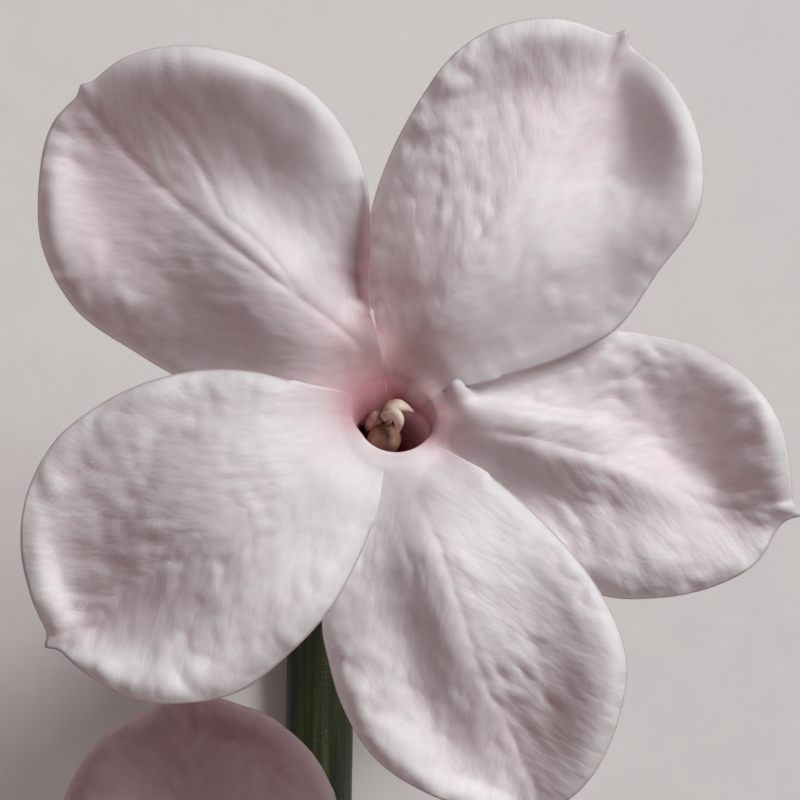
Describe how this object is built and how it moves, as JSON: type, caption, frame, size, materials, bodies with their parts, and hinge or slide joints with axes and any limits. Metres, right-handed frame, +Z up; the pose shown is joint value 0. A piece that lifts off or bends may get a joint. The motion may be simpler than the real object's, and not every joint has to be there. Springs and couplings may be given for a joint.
{
  "type": "jasmine flower sprig",
  "caption": "Picked jasmine sprig lying on its stem, with open pale pink blooms facing up, a closed bud and small leaves.",
  "frame": {"origin": "on the stem's flat underside, 2.9 mm right of and 25 mm before the point under the main bloom's mouth, at the level of the surface it lies on", "axes": "+Y runs along the stem from its cut end towards the main bloom, +Z is up, the way the main bloom faces, +X is to the right seen from above"},
  "size_m": [0.0496, 0.0741, 0.0236],
  "materials": {
    "stem_green": "smooth green stem with fine lengthwise streaks",
    "calyx_green": "matt green cup, redder towards the teeth",
    "petal": "soft pale pink petal, finely wrinkled, rose at the mouth",
    "stigma_cream": "waxy cream",
    "anther_tan": "powdery tan",
    "bud_petal": "smooth deep pink closed petals",
    "leaf_green": "half-gloss dark green leaf"
  },
  "bodies": {
    "root": {"stem": "stem_green", "main_calyx": "calyx_green", "main_corolla": "petal", "main_pistil": "stigma_cream", "main_anther_low": "anther_tan", "main_anther_high": "anther_tan", "side_calyx": "calyx_green", "side_corolla": "petal", "side_pistil": "stigma_cream", "side_anther_low": "anther_tan", "side_anther_high": "anther_tan", "bud_calyx": "calyx_green", "bud_corolla": "bud_petal", "leaf_left": "leaf_green", "leaf_right": "leaf_green"}
  },
  "joints": []
}
